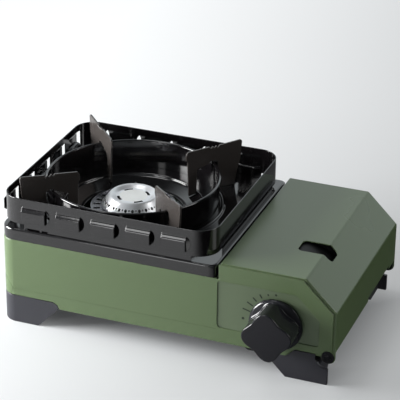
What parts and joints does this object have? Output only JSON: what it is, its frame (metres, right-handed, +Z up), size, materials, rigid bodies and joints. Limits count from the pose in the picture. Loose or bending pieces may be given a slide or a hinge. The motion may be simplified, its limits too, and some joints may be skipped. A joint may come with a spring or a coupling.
{
  "type": "butane cassette stove",
  "caption": "Portable tabletop gas stove: folded steel body, lift-off windshield with pot support, control knob and a container bay with a swing-down cover.",
  "frame": {"origin": "on the ground, at the middle of the stove's overall footprint", "axes": "+X to the right, towards the container bay; +Y to the rear, away from the knob; +Z up"},
  "size_m": [0.286, 0.193, 0.125],
  "materials": {
    "green_paint": "satin olive green paint on steel sheet",
    "black_enamel": "glossy black enamel on steel",
    "black_paint": "semi-matt black paint on steel",
    "black_plastic": "fine-grained black plastic",
    "knob_plastic": "satin black plastic with polished edges",
    "burner_alloy": "satin aluminised metal",
    "bare_steel": "plain rolled steel",
    "bright_steel": "bright plated steel",
    "cast_alloy": "die-cast alloy",
    "brass": "turned brass",
    "heat_panel_sheet": "bare aluminium sheet",
    "white_ceramic": "unglazed white ceramic",
    "lead_rubber": "red silicone sleeve"
  },
  "bodies": {
    "stove_body": {"body_shell": "green_paint", "rear_panel": "green_paint", "dial_plate": "green_paint", "base_tray": "black_paint", "hinge_pins": "black_paint", "hinge_washers": "black_paint", "foot_front_left": "black_plastic", "foot_front_right": "black_plastic", "foot_rear_left": "black_plastic", "foot_rear_right": "black_plastic", "piezo_igniter": "black_plastic", "burner_body": "burner_alloy", "burner_cap": "burner_alloy", "bay_partition": "bare_steel", "cover_catch": "bare_steel", "governor_bracket": "bare_steel", "mixing_tube": "bare_steel", "burner_bracket": "bare_steel", "foot_screws": "bare_steel", "bracket_screws": "bare_steel", "rear_screws": "bare_steel", "governor_cap": "bare_steel", "electrode_wire": "bare_steel", "seat_magnets": "bare_steel", "can_seat": "bright_steel", "can_key": "bright_steel", "governor_body": "cast_alloy", "nozzle": "brass", "gas_pipe": "brass", "heat_panel": "heat_panel_sheet", "electrode_ceramic": "white_ceramic", "igniter_lead": "lead_rubber"},
    "pot_support": {"drip_pan": "black_enamel", "windshield": "black_enamel", "pot_ring": "black_enamel", "arm_front_left": "black_enamel", "arm_front_right": "black_enamel", "arm_rear_right": "black_enamel", "arm_rear_left": "black_enamel"},
    "cover": {"container_cover": "green_paint", "slot_liner": "black_paint"},
    "knob": {"control_knob": "knob_plastic", "valve_spindle": "brass", "igniter_cam": "black_plastic"},
    "plunger": {"igniter_plunger": "bare_steel"}
  },
  "joints": [
    {"name": "cover_hinge", "type": "hinge", "parent": "stove_body", "child": "cover", "pos_m": [0.1372, 0.0125, 0.0244], "axis": [0, 1, 0], "range_deg": [0, 92]},
    {"name": "knob_turn", "type": "hinge", "parent": "stove_body", "child": "knob", "pos_m": [0.0951, -0.0715, 0.0453], "axis": [0, -1, 0], "range_deg": [0, 100]},
    {"name": "plunger_push", "type": "slide", "parent": "stove_body", "child": "plunger", "axis": [-1, 0, 0], "range_m": [0, 0.0036]},
    {"name": "support_lift", "type": "slide", "parent": "stove_body", "child": "pot_support", "axis": [0, 0, 1], "range_m": [0, 0.06]}
  ],
  "couplings": [
    {"joint": "plunger_push", "follows": "knob_turn", "m_per_rad": 0.002005}
  ]
}
